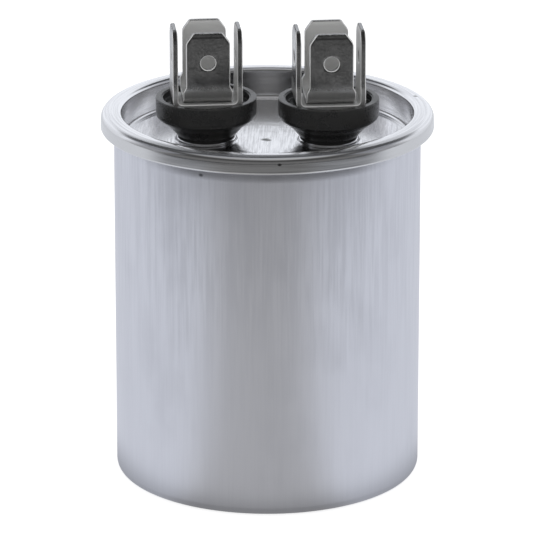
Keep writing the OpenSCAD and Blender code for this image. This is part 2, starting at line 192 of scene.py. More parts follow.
class CAPACITOR_PG_studio(bpy.types.PropertyGroup):
    """Floor, light and camera."""

    distance: length("Distance", "Camera's distance from the terminals' plane, along the floor", 671.05 * MM)
    height: length("Height", "Camera's height above the floor", 254.68 * MM)
    tilt: angle("Tilt", "Camera's tilt", 18.48)
    turn: angle("Turn", "Camera's place round the can", 1.94)
    lens: FloatProperty(
        name="Lens", description="Focal length in millimetres on a 36 mm sensor", default=326.85, min=1.0
    )
    level: amount("Level", "Strength of the soft light all round", 0.85)
    backdrop: amount("Backdrop", "How light the backdrop is in the metal", 1.0)
    front: amount("Room", "How light the room behind the camera is in the metal", 0.19)
    ceiling: amount("Ceiling", "How light the ceiling is in the metal", 0.08)
    zenith: amount("Above", "Strength of the light straight above", 0.42)
    zenith_low: angle("Above, start", "Height where it begins", 58)
    zenith_high: angle("Above, full", "Height where it is full", 72)
    edge_low: angle("Backdrop top", "Where the backdrop starts to fade upwards", 25)
    edge_high: angle("Ceiling edge", "Where the ceiling begins", 38)
    front_inner: angle("Room, inner", "Half the width of the dim room", 20)
    front_outer: angle("Room, outer", "Where the room has faded", 44)
    lean: angle("Lean", "How far the dim front lies to the left", -4)
    room_inner: angle("Room, wide", "Half the width of the dim room above the floor", 95)
    room_outer: angle("Room, end", "Where the backdrop begins", 125)
    floor_out: amount("Floor beyond", "How light the floor beyond the lit sheet is, in front", 0.4)
    floor_out_side: amount("Floor beyond, sides", "The same, to the sides", 0.55)
    floor_side: amount("Floor beside", "How light the floor is in the metal", 0.85)
    floor_front: amount("Floor in front", "The same, in front of the can", 0.5)
    floor_far: amount("Floor far in front", "The same, near the camera", 0.07)
    glow: amount("Floor's white", "Own light of the floor in the picture", 0.78)
    tint: colour("Tint", "Colour of the cool side light", "F6F9FF")
    floor_colour: colour("Floor", "Plain pale floor", "F4F4F4")
    lamp_power: FloatProperty(
        name="Lamps", description="Power of each soft lamp", default=0.5, min=0.0,
        subtype="POWER", unit="POWER",
    )


# ---- helpers for node trees and meshes ----


def feed(node, sockets):
    """Gives each socket a value, or the output that drives it."""
    for key, given in sockets.items():
        socket = node.inputs[key]
        if isinstance(given, bpy.types.NodeSocket):
            node.id_data.links.new(given, socket)
        elif socket.type == "RGBA":
            socket.default_value = (*given[:3], 1.0)
        else:
            socket.default_value = given


def add(tree, kind, sockets=(), **props):
    """One node with its properties. Each socket is given a value, or the output that feeds it."""
    node = tree.nodes.new(kind)
    for key, value in props.items():
        setattr(node, key, value)
    feed(node, dict(sockets))
    return node


def rounded(corners, closed=True, step=9.0, near=0.02 * MM):
    """Outline through corners (r, z, radius). Each corner becomes an arc, with a point just before and after
    it, so that the flats beside it stay flat when they are shaded smooth."""
    pts = []
    count = len(corners)
    for i, (x, y, rad) in enumerate(corners):
        here = Vector((x, y))
        if rad <= 0 or (not closed and i in (0, count - 1)):
            pts.append(here)
            continue
        a = Vector(corners[i - 1][:2]) - here
        b = Vector(corners[(i + 1) % count][:2]) - here
        la, lb = a.length, b.length
        a.normalize()
        b.normalize()
        half = math.acos(max(-1, min(1, a.dot(b)))) / 2
        if half < 1e-4 or math.pi / 2 - half < 1e-4:
            pts.append(here)
            continue
        cut = rad / math.tan(half)
        mid = (a + b).normalized() * (rad / math.sin(half)) + here
        start, end = here + a * cut, here + b * cut
        if la - cut > 3 * near:
            pts.append(start + a * near)
        sweep = math.pi - 2 * half
        n = max(3, round(math.degrees(sweep) / step))
        va, vb = start - mid, end - mid
        turn = 1 if va.x * vb.y - va.y * vb.x > 0 else -1
        for k in range(n + 1):
            cos, sin = math.cos(turn * sweep * k / n), math.sin(turn * sweep * k / n)
            pts.append(mid + Vector((va.x * cos - va.y * sin, va.x * sin + va.y * cos)))
        if lb - cut > 3 * near:
            pts.append(end + b * near)
    out = []
    for p in pts:
        if not out or (p - out[-1]).length > SAME:
            out.append(p)
    if closed and (out[0] - out[-1]).length < SAME:
        out.pop()
    return out


def piece(name, bm_or_mesh, material, slot, *nodes):
    """Finishes a mesh as a named piece that rides on the part and stands for its CAD nodes."""
    if isinstance(bm_or_mesh, bmesh.types.BMesh):
        bm = bm_or_mesh
        mesh = bpy.data.meshes.new(name)
    else:
        mesh = bm_or_mesh
        mesh.name = name
        bm = bmesh.new()
        bm.from_mesh(mesh)
    bmesh.ops.remove_doubles(bm, verts=bm.verts, dist=SAME)
    bmesh.ops.recalc_face_normals(bm, faces=bm.faces)
    if bm.calc_volume(signed=True) < 0:
        bmesh.ops.reverse_faces(bm, faces=bm.faces)
    plain = bm.faces.layers.int.get("plain")
    for f in bm.faces:
        f.smooth = not (plain and f[plain])
        f.material_index = 0
    bm.to_mesh(mesh)
    bm.free()
    mesh.materials.clear()
    mesh.materials.append(material)
    obj = bpy.data.objects.new(name, mesh)
    bpy.context.scene.collection.objects.link(obj)
    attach(obj, "root")
    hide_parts(*nodes)
    return obj


# ---- Geometry Nodes: turned pieces ----


def turned_tree():
    """Turns an outline, drawn with x as the radius and z as the height, into a round piece."""
    known = bpy.data.node_groups.get("Turned piece")
    if known:
        return known
    tree = bpy.data.node_groups.new("Turned piece", "GeometryNodeTree")
    face = tree.interface
    face.new_socket("Outline", in_out="INPUT", socket_type="NodeSocketGeometry")
    face.new_socket("Steps", in_out="INPUT", socket_type="NodeSocketInt")
    face.new_socket("Place", in_out="INPUT", socket_type="NodeSocketVector")
    face.new_socket("Waviness", in_out="INPUT", socket_type="NodeSocketFloat")
    face.new_socket("Wave size", in_out="INPUT", socket_type="NodeSocketFloat")
    face.new_socket("Seed", in_out="INPUT", socket_type="NodeSocketFloat")
    face.new_socket("Material", in_out="INPUT", socket_type="NodeSocketMaterial")
    face.new_socket("Piece", in_out="OUTPUT", socket_type="NodeSocketGeometry")
    path_radius = 0.01
    inp = add(tree, "NodeGroupInput")
    # The outline's radius runs along the sweep's normal and its height against the sweep's side axis.
    line = add(tree, "GeometryNodeMeshToCurve", {"Mesh": inp.outputs["Outline"]})
    where = add(tree, "GeometryNodeInputPosition")
    split = add(tree, "ShaderNodeSeparateXYZ", {0: where.outputs[0]})
    out = add(tree, "ShaderNodeMath", {0: split.outputs["X"], 1: path_radius}, operation="SUBTRACT")
    down = add(tree, "ShaderNodeMath", {0: split.outputs["Z"], 1: -1.0}, operation="MULTIPLY")
    flat = add(tree, "ShaderNodeCombineXYZ", {"X": out.outputs[0], "Y": down.outputs[0]})
    drawn = add(
        tree, "GeometryNodeSetPosition", {"Geometry": line.outputs[0], "Position": flat.outputs[0]}
    )
    ring = add(
        tree, "GeometryNodeCurvePrimitiveCircle",
        {"Radius": path_radius, "Resolution": inp.outputs["Steps"]}, mode="RADIUS",
    )
    upright = add(tree, "GeometryNodeSetCurveNormal", {"Curve": ring.outputs[0]}, mode="Z_UP")
    swept = add(
        tree, "GeometryNodeCurveToMesh",
        {"Fill Caps": False, "Curve": upright.outputs[0], "Profile Curve": drawn.outputs[0]},
    )
    closed = add(
        tree, "GeometryNodeMergeByDistance", {"Distance": 2 * SAME, "Geometry": swept.outputs[0]}
    )
    # Out-of-round: soft noise along the radius, none at the axis
    spot = add(tree, "GeometryNodeInputPosition")
    level = add(tree, "ShaderNodeVectorMath", {0: spot.outputs[0], 1: FLAT}, operation="MULTIPLY")
    away = add(tree, "ShaderNodeVectorMath", {0: level.outputs[0]}, operation="NORMALIZE")
    rate = add(tree, "ShaderNodeMath", {0: 1.0, 1: inp.outputs["Wave size"]}, operation="DIVIDE")
    noise = add(
        tree, "ShaderNodeTexNoise",
        {
            "Detail": 1.0, "Roughness": 0.4, "Vector": spot.outputs[0], "W": inp.outputs["Seed"],
            "Scale": rate.outputs[0],
        },
        noise_dimensions="4D",
    )
    signed = add(
        tree, "ShaderNodeMapRange",
        {"From Min": 0.25, "From Max": 0.75, "To Min": -1.0, "To Max": 1.0, "Value": noise.outputs[0]},
    )
    swing = add(
        tree, "ShaderNodeMath", {0: signed.outputs[0], 1: inp.outputs["Waviness"]}, operation="MULTIPLY"
    )
    shift = add(
        tree, "ShaderNodeVectorMath", {0: away.outputs[0], "Scale": swing.outputs[0]}, operation="SCALE"
    )
    waved = add(
        tree, "GeometryNodeSetPosition", {"Geometry": closed.outputs[0], "Offset": shift.outputs[0]}
    )
    placed = add(
        tree, "GeometryNodeTransform",
        {"Geometry": waved.outputs[0], "Translation": inp.outputs["Place"]},
    )
    smooth = add(tree, "GeometryNodeSetShadeSmooth", {"Geometry": placed.outputs[0]})
    real = add(tree, "GeometryNodeRealizeInstances", {"Geometry": smooth.outputs[0]})
    done = add(
        tree, "GeometryNodeSetMaterial",
        {"Geometry": real.outputs[0], "Material": inp.outputs["Material"]},
    )
    add(tree, "NodeGroupOutput", {0: done.outputs[0]})
    return tree


def turned_mesh(
    name, outline, material, steps, place=(0, 0, 0), waviness=0.0, wave_size=0.02, seed=1.0, closed=True
):
    """A plain mesh of a turned piece, made by the Geometry Nodes tree."""
    mesh = bpy.data.meshes.new(name + "_outline")
    count = len(outline)
    edges = [(i, (i + 1) % count) for i in range(count if closed else count - 1)]
    mesh.from_pydata([(p[0], 0.0, p[1]) for p in outline], edges, [])
    obj = bpy.data.objects.new(name + "_outline", mesh)
    bpy.context.scene.collection.objects.link(obj)
    tree = turned_tree()
    mod = obj.modifiers.new("Turned", "NODES")
    mod.node_group = tree
    named = {i.name: i.identifier for i in tree.interface.items_tree if i.in_out == "INPUT"}
    for key, value in {
        "Steps": steps, "Place": place, "Waviness": waviness, "Wave size": wave_size, "Seed": seed,
        "Material": material,
    }.items():
        mod[named[key]] = value
    obj.update_tag()
    bpy.context.view_layer.update()
    graph = bpy.context.evaluated_depsgraph_get()
    made = bpy.data.meshes.new_from_object(obj.evaluated_get(graph))
    obj.modifiers.remove(mod)
    bpy.data.objects.remove(obj)
    bpy.data.meshes.remove(mesh)
    if not made.polygons:
        raise RuntimeError(f"the turned piece {name} came out empty")
    return made


# ---- materials ----


def new_material(name):
    """An empty material with one Principled shader; returns the material, its tree and the shader."""
    mat = bpy.data.materials.new(name)
    mat.use_nodes = True
    tree = mat.node_tree
    tree.nodes.clear()
    shader = add(tree, "ShaderNodeBsdfPrincipled")
    add(tree, "ShaderNodeOutputMaterial", {"Surface": shader.outputs[0]})
    return mat, tree, shader


def noise_at(tree, size, detail, rough):
    """Noise on object coordinates. size is the grain in metres, one number or one for each axis."""
    size = (size,) * 3 if isinstance(size, float) else size
    spot = add(tree, "ShaderNodeTexCoord")
    scaled = add(
        tree, "ShaderNodeMapping", {"Scale": [1 / s for s in size], "Vector": spot.outputs["Object"]}
    )
    made = add(
        tree, "ShaderNodeTexNoise",
        {"Scale": 1.0, "Detail": detail, "Roughness": rough, "Vector": scaled.outputs[0]},
    )
    return made.outputs["Fac"]


def patch(tree, centre, radii, soft=0.6):
    """1 inside an ellipsoid of those radii round centre, falling to 0 outside it."""
    spot = add(tree, "ShaderNodeTexCoord")
    moved = add(
        tree, "ShaderNodeVectorMath", {0: spot.outputs["Object"], 1: centre}, operation="SUBTRACT"
    )
    squashed = add(
        tree, "ShaderNodeVectorMath",
        {0: moved.outputs[0], 1: [1 / r for r in radii]}, operation="MULTIPLY",
    )
    far = add(
        tree, "ShaderNodeVectorMath", {0: squashed.outputs[0]}, operation="LENGTH"
    ).outputs["Value"]
    return add(
        tree, "ShaderNodeMapRange",
        {"Value": far, "From Min": 1.0 - soft, "From Max": 1.0 + soft, "To Min": 1.0, "To Max": 0.0},
        interpolation_type="SMOOTHSTEP",
    ).outputs[0]


def nicked(tree, shader, base, places, dark):
    """Darkens the base colour in small nicks, as painted shade of their dents; each place is a centre and a
    radius in metres.
    """
    worst = 0.0
    for centre, radius in places:
        one = patch(tree, centre, (radius, radius, radius * 0.7))
        worst = add(tree, "ShaderNodeMath", {0: worst, 1: one}, operation="MAXIMUM").outputs[0]
    shown = add(tree, "ShaderNodeMix", {0: worst, 6: base, 7: dark}, data_type="RGBA").outputs[2]
    feed(shader, {"Base Color": shown})


def bumped(tree, shader, height, distance, before=None):
    """Adds a bump of that real height, in metres, to the shader; before is an earlier bump."""
    node = add(tree, "ShaderNodeBump", {"Strength": 1.0, "Distance": distance, "Height": height})
    if before:
        feed(node, {"Normal": before.outputs[0]})
    feed(shader, {"Normal": node.outputs[0]})
    return node


def can_finish(s):
    """Aluminium, drawn and brushed along the can's height: a soft sheen that spreads sideways, fine upright
    draw lines, and faint clouds where it was handled."""
    mat, tree, shader = new_material("Drawn aluminium, brushed upright")
    round_z = add(tree, "ShaderNodeTangent", direction_type="RADIAL", axis="Z")
    feed(shader, {"Metallic": 1.0, "Anisotropic": 0.55, "Tangent": round_z.outputs[0]})
    # Draw lines 0.3 mm apart, coarser than the real 0.1 mm so that they show
    fine = noise_at(tree, (0.3 * MM, 0.3 * MM, 9 * MM), 2.0, 0.5)
    broad = noise_at(tree, (1.4 * MM, 1.4 * MM, 30 * MM), 2.0, 0.5)
    cloud = noise_at(tree, (9 * MM, 9 * MM, 13 * MM), 3.0, 0.5)
    # The lines are stronger in the upper half, where the punch rubbed the wall
    spot = add(tree, "ShaderNodeTexCoord")
    split = add(tree, "ShaderNodeSeparateXYZ", {0: spot.outputs["Object"]})
    upper = add(
        tree, "ShaderNodeMapRange",
        {
            "Value": split.outputs["Z"], "From Min": 14 * MM, "From Max": 40 * MM, "To Min": 0.35,
            "To Max": 1.0,
        },
        interpolation_type="SMOOTHSTEP",
    ).outputs[0]
    mixed = add(tree, "ShaderNodeMix", {0: 0.4, 2: fine, 3: broad}, data_type="FLOAT").outputs[0]
    swing = add(
        tree, "ShaderNodeMapRange",
        {"Value": mixed, "From Min": 0.36, "From Max": 0.64, "To Min": -0.5, "To Max": 0.5},
        interpolation_type="SMOOTHSTEP",
    ).outputs[0]
    line = add(
        tree, "ShaderNodeMath", {0: swing, 1: upper, 2: 0.5}, operation="MULTIPLY_ADD"
    ).outputs[0]
    dull = add(
        tree, "ShaderNodeMapRange",
        {"Value": cloud, "From Min": 0.5, "From Max": 0.75, "To Min": 0.0, "To Max": 0.35},
        interpolation_type="SMOOTHSTEP",
    ).outputs[0]
    shade = add(
        tree, "ShaderNodeMath", {0: line, 1: 0.55, 2: dull}, operation="MULTIPLY_ADD"
    ).outputs[0]
    # One nick, on the wall's skin under the seam; the nick is real, its dark colour is painted shade of the
    # dent
    r, a, nick_at = LID_HI.x - 1.9 * MM, math.radians(-113), 50.8 * MM
    nicks = [((r * math.cos(a), r * math.sin(a), nick_at), 0.3 * MM)]
    face = add(
        tree, "ShaderNodeMix", {0: shade, 6: s.can_colour, 7: s.can_dull}, data_type="RGBA"
    ).outputs[2]
    nicked(tree, shader, face, nicks, srgb("7E7F84"))
    streaky = add(
        tree, "ShaderNodeMapRange",
        {"Value": line, "From Min": 0.0, "From Max": 1.0, "To Min": 0.33, "To Max": 0.39},
        interpolation_type="SMOOTHSTEP",
    ).outputs[0]
    rough = add(
        tree, "ShaderNodeMath", {0: dull, 1: 0.12, 2: streaky}, operation="MULTIPLY_ADD"
    ).outputs[0]
    feed(shader, {"Roughness": rough})
    first = bumped(tree, shader, line, 0.005 * MM)
    bumped(tree, shader, cloud, 0.045 * MM, before=first)
    return mat


def lid_finish(s):
    """Aluminium sheet, rolled flat, pressed and seamed round the can: nearly bright, with lines that the
    seaming rolls drew round the rim, slight waves from seaming, and straight rolling lines on the panel."""
    mat, tree, shader = new_material("Rolled aluminium, seamed")
    feed(shader, {"Metallic": 1.0})
    spot = add(tree, "ShaderNodeTexCoord").outputs["Object"]
    split = add(tree, "ShaderNodeSeparateXYZ", {0: spot})
    flat = add(tree, "ShaderNodeVectorMath", {0: spot, 1: FLAT}, operation="MULTIPLY")
    radius = add(
        tree, "ShaderNodeVectorMath", {0: flat.outputs[0]}, operation="LENGTH"
    ).outputs["Value"]
    unit = add(tree, "ShaderNodeVectorMath", {0: flat.outputs[0]}, operation="NORMALIZE").outputs[0]

    def round_lines(across, along, detail):
        """Noise drawn out round the rim: across in metres over its section, along in metres round it."""
        way = add(tree, "ShaderNodeVectorMath", {"Scale": LID_HI.x / along, 0: unit}, operation="SCALE")
        parts = add(tree, "ShaderNodeSeparateXYZ", {0: way.outputs[0]})
        level = add(
            tree, "ShaderNodeMath", {0: split.outputs["Z"], 1: 1 / across}, operation="MULTIPLY"
        ).outputs[0]
        place = add(
            tree, "ShaderNodeCombineXYZ", {0: parts.outputs["X"], 1: parts.outputs["Y"], 2: level}
        ).outputs[0]
        out = add(tree, "ShaderNodeMath", {0: radius, 1: 1 / across}, operation="MULTIPLY").outputs[0]
        return add(
            tree, "ShaderNodeTexNoise",
            {"Scale": 1.0, "Detail": detail, "Roughness": 0.5, "Vector": place, "W": out},
            noise_dimensions="4D",
        ).outputs["Fac"]

    # Rolling lines 0.3 mm apart run over the panel from front to back, coarser than real so that they show
    lines = noise_at(tree, (0.3 * MM, 5 * MM, 0.5 * MM), 2.0, 0.5)
    # Marks of the seaming rolls, 0.3 mm apart and also coarser than real
    rolled = round_lines(0.3 * MM, 12 * MM, 2.0)
    swell = round_lines(1.6 * MM, 14 * MM, 1.0)
    # Outside the panel the rolls' marks take over
    outside = add(
        tree, "ShaderNodeMapRange",
        {"Value": radius, "From Min": LID_HI.x - 3.9 * MM, "From Max": LID_HI.x - 3.4 * MM},
        interpolation_type="SMOOTHSTEP",
    ).outputs[0]
    grain = add(tree, "ShaderNodeMix", {0: outside, 2: lines, 3: rolled}, data_type="FLOAT").outputs[0]
    shade = add(
        tree, "ShaderNodeMapRange",
        {"Value": grain, "From Min": 0.35, "From Max": 0.68}, interpolation_type="SMOOTHSTEP",
    ).outputs[0]
    # A few nicks from handling: one in the middle of the panel, the others along the rim. The nicks are real;
    # their dark colour is painted shade, standing in for the dents, which the shape lacks
    panel, r, top = LID_HI.z - s.panel_depth, LID_HI.x, LID_HI.z
    nicks = [((-0.3 * MM, -0.4 * MM, panel), 0.55 * MM), ((0.1 * MM, -0.7 * MM, panel), 0.45 * MM)]
    # On the rim each has its place round it, its distance inside and below the rim, and its radius, in mm
    for degrees, back, drop, size in (
        (-132.5, 0.1, 0.25, 0.3), (18.5, 1.6, 0.0, 0.3), (-113.3, 0.3, 0.1, 0.25), (-84.0, 0.05, 1.1, 0.25),
    ):
        a, out = math.radians(degrees), r - back * MM
        nicks.append(((out * math.cos(a), out * math.sin(a), top - drop * MM), size * MM))
    # The seam's outer wall was pressed by the rolls, so it is greyer than the panel
    wall = add(
        tree, "ShaderNodeMapRange",
        {"Value": radius, "From Min": LID_HI.x - 0.45 * MM, "From Max": LID_HI.x - 0.2 * MM},
        interpolation_type="SMOOTHSTEP",
    ).outputs[0]
    sheet = add(
        tree, "ShaderNodeMix", {0: shade, 6: s.lid_colour, 7: s.lid_dull}, data_type="RGBA"
    ).outputs[2]
    face = add(
        tree, "ShaderNodeMix", {0: wall, 6: sheet, 7: s.wall_colour}, data_type="RGBA"
    ).outputs[2]
    # Painted shade: the nicks are darkened in colour
    nicked(tree, shader, face, nicks, srgb("4A4A48"))
    rough = add(
        tree, "ShaderNodeMapRange",
        {"Value": shade, "From Min": 0.0, "From Max": 1.0, "To Min": 0.16, "To Max": 0.23},
        interpolation_type="SMOOTHSTEP",
    ).outputs[0]
    feed(shader, {"Roughness": rough})
    first = bumped(tree, shader, swell, 0.03 * MM)
    bumped(tree, shader, shade, 0.0007 * MM, before=first)
    return mat


def strip_finish(s):
    """Brass strip under tin: a grey-white metal with a fine, even grain. The outside of each fold was rubbed
    bright by the tools; the inside and the bends carry painted light, a pale matt colour, and the stamped
    edges a painted highlight, a near-white colour."""
    mat, tree, shader = new_material("Tin-plated strip, stamped")
    # Grain of the plating, really about 0.12 mm, is drawn at 0.28 mm so that it shows
    grain = noise_at(tree, 0.28 * MM, 2.0, 0.6)
    cloud = noise_at(tree, 1.6 * MM, 3.0, 0.55)
    both = add(tree, "ShaderNodeMix", {0: 0.4, 2: grain, 3: cloud}, data_type="FLOAT").outputs[0]
    shade = add(
        tree, "ShaderNodeMapRange",
        {"Value": both, "From Min": 0.35, "From Max": 0.7}, interpolation_type="SMOOTHSTEP",
    ).outputs[0]
    # Painted light: the fold's inner face takes the pale matt colour
    inside = add(tree, "ShaderNodeAttribute", attribute_name="inside").outputs["Fac"]
    spot = add(tree, "ShaderNodeTexCoord").outputs["Object"]
    height = add(tree, "ShaderNodeSeparateXYZ", {0: spot}).outputs["Z"]
    # The bend's stretched skin is rougher, and carries the same painted light, a pale colour, fading into the
    # bright leg above it
    low = UPPER_LO.z + s.upper_bend
    ragged = add(
        tree, "ShaderNodeMath", {0: cloud, 1: 1.2 * MM, 2: height}, operation="MULTIPLY_ADD"
    ).outputs[0]
    bent = add(
        tree, "ShaderNodeMapRange",
        {
            "Value": ragged, "From Min": low + 0.6 * MM, "From Max": low + 2.6 * MM,
            "To Min": s.bend_dull_painted_light, "To Max": 0.0,
        },
        interpolation_type="SMOOTHSTEP",
    ).outputs[0]
    matt = add(tree, "ShaderNodeMath", {0: inside, 1: bent}, operation="MAXIMUM").outputs[0]
    # Painted highlight: the stamped edge gets a near-white, mostly diffuse colour
    edge = add(tree, "ShaderNodeAttribute", attribute_name="edge").outputs["Fac"]
    bright = add(
        tree, "ShaderNodeMix", {0: shade, 6: s.strip_colour, 7: s.strip_dull}, data_type="RGBA"
    ).outputs[2]
    # Painted light: the pale matt colour on the inner faces and bends
    face = add(
        tree, "ShaderNodeMix", {0: matt, 6: bright, 7: s.strip_matt_painted_light}, data_type="RGBA"
    ).outputs[2]
    # Painted highlight on the stamped edges
    shown = add(tree, "ShaderNodeMix", {0: edge, 6: face, 7: s.strip_edge_painted_highlight}, data_type="RGBA").outputs[2]
    # The painted light on the inner faces and bends, and the painted highlight on the edges, scatter light as
    # a pale paint would, so they are only partly a mirror
    painted_light_share = add(tree, "ShaderNodeMath", {0: matt, 1: 0.8}, operation="MULTIPLY").outputs[0]
    edge_highlight_share = add(tree, "ShaderNodeMath", {0: edge, 1: 0.75}, operation="MULTIPLY").outputs[0]
    dulled = add(tree, "ShaderNodeMath", {0: painted_light_share, 1: edge_highlight_share}, operation="MAXIMUM").outputs[0]
    mirror = add(tree, "ShaderNodeMath", {0: 1.0, 1: dulled}, operation="SUBTRACT").outputs[0]
    grainy = add(
        tree, "ShaderNodeMapRange",
        {"Value": shade, "From Min": 0.0, "From Max": 1.0, "To Min": 0.17, "To Max": 0.24},
        interpolation_type="SMOOTHSTEP",
    ).outputs[0]
    rough = add(
        tree, "ShaderNodeMath", {0: dulled, 1: 0.3, 2: grainy}, operation="MULTIPLY_ADD"
    ).outputs[0]
    feed(shader, {"Base Color": shown, "Metallic": mirror, "Roughness": rough})
    first = bumped(tree, shader, cloud, 0.015 * MM)
    bumped(tree, shader, grain, 0.003 * MM, before=first)
    return mat


def plastic_finish(name, dark, light, rough_low, rough_high, grain_size=0.25 * MM, height=0.004 * MM):
    """Moulded, pressed or rolled non-metal with a fine grain: colour and gloss vary a little with it."""
    mat, tree, shader = new_material(name)
    grain = noise_at(tree, grain_size, 3.0, 0.6)
    cloud = noise_at(tree, 3 * MM, 2.0, 0.5)
    both = add(tree, "ShaderNodeMix", {0: 0.6, 2: grain, 3: cloud}, data_type="FLOAT").outputs[0]
    shade = add(
        tree, "ShaderNodeMapRange",
        {"Value": both, "From Min": 0.35, "From Max": 0.65}, interpolation_type="SMOOTHSTEP",
    ).outputs[0]
    shown = add(tree, "ShaderNodeMix", {0: shade, 6: dark, 7: light}, data_type="RGBA").outputs[2]
    rough = add(
        tree, "ShaderNodeMapRange",
        {"Value": shade, "From Min": 0.0, "From Max": 1.0, "To Min": rough_low, "To Max": rough_high},
        interpolation_type="SMOOTHSTEP",
    ).outputs[0]
    feed(shader, {"Base Color": shown, "Roughness": rough})
    bumped(tree, shader, grain, height)
    return mat


def metal_finish(name, light, dull, rough_low, rough_high, grain_size=0.3 * MM, height=0.003 * MM):
    """Small plated or sprayed metal piece."""
    mat, tree, shader = new_material(name)
    feed(shader, {"Metallic": 1.0})
    grain = noise_at(tree, grain_size, 3.0, 0.6)
    shade = add(
        tree, "ShaderNodeMapRange",
        {"Value": grain, "From Min": 0.35, "From Max": 0.65}, interpolation_type="SMOOTHSTEP",
    ).outputs[0]
    shown = add(tree, "ShaderNodeMix", {0: shade, 6: light, 7: dull}, data_type="RGBA").outputs[2]
    rough = add(
        tree, "ShaderNodeMapRange",
        {"Value": shade, "From Min": 0.0, "From Max": 1.0, "To Min": rough_low, "To Max": rough_high},
        interpolation_type="SMOOTHSTEP",
    ).outputs[0]
    feed(shader, {"Base Color": shown, "Roughness": rough})
    bumped(tree, shader, grain, height)
    return mat


# ---- the pieces, one operator for each group ----


def seam_foot(s):
    """Height of the double seam's lower edge."""
    return LID_HI.z - s.seam_height


def divided(outline, longest):
    """The closed outline with its long sides cut into even lengths."""
    out = []
    count = len(outline)
    for i, p in enumerate(outline):
        q = outline[(i + 1) % count]
        out.append(p)
        n = int((q - p).length / longest)
        out.extend(p.lerp(q, k / (n + 1)) for k in range(1, n + 1))
    return out


def middle_of(name):
    """Where the axis of a round node stands, at the height of the floor."""
    lo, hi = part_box(name)
    return Vector(((lo.x + hi.x) / 2, (lo.y + hi.y) / 2, 0))


class CAPACITOR_OT_can(bpy.types.Operator):
    """Build the deep-drawn can: flat bottom, rounded foot, straight wall and the flange inside the seam"""

    bl_idname = "capacitor.can"
    bl_label = "Can"

    def execute(self, context):
        s = context.scene.capacitor_shell
        hook_or = CAN_HI.x
        top = CAN_HI.z
        wall = s.can_sheet
        hook_ir = hook_or - wall
        wall_or = hook_ir - 2 * s.seam_gap - s.lid_sheet
        wall_ir = wall_or - wall
        inner = (hook_ir - wall_or) / 2
        outer = inner + wall
        foot = seam_foot(s)
        # The body hook ends this far above the bottom of the fold it hangs in
        hook_end = foot + s.lid_sheet + inner - math.sqrt(s.seam_gap * (s.seam_gap + wall)) + 0.05 * MM
        # Under the seam the rolls press the wall in a little, over a short slope
        press, slope = 0.1 * MM, 0.25 * MM
        corners = [
            (0, 0, 0),
            (wall_or, 0, s.foot_round),
            (wall_or, foot - slope, 0),
            (wall_or - press, foot, 0),
            (wall_or, top - wall, inner),
            (hook_ir, top - wall, inner),
            (hook_ir, hook_end, CUT_ROUND),
            (hook_or, hook_end, CUT_ROUND),
            (hook_or, top, outer),
            (wall_ir, top, outer),
            (wall_ir, s.base_sheet, s.foot_round - wall),
            (0, s.base_sheet, 0),
        ]
        # Long sides are divided, so that the wall can be wavy
        outline = divided(rounded(corners), 1.6 * MM)
        finish = can_finish(s)
        mesh = turned_mesh(
            "can_body", outline, finish, s.steps, waviness=s.waviness, wave_size=14 * MM, seed=3.0
        )
        piece("can_body", mesh, finish, "can_aluminium", "can")
        return {"FINISHED"}


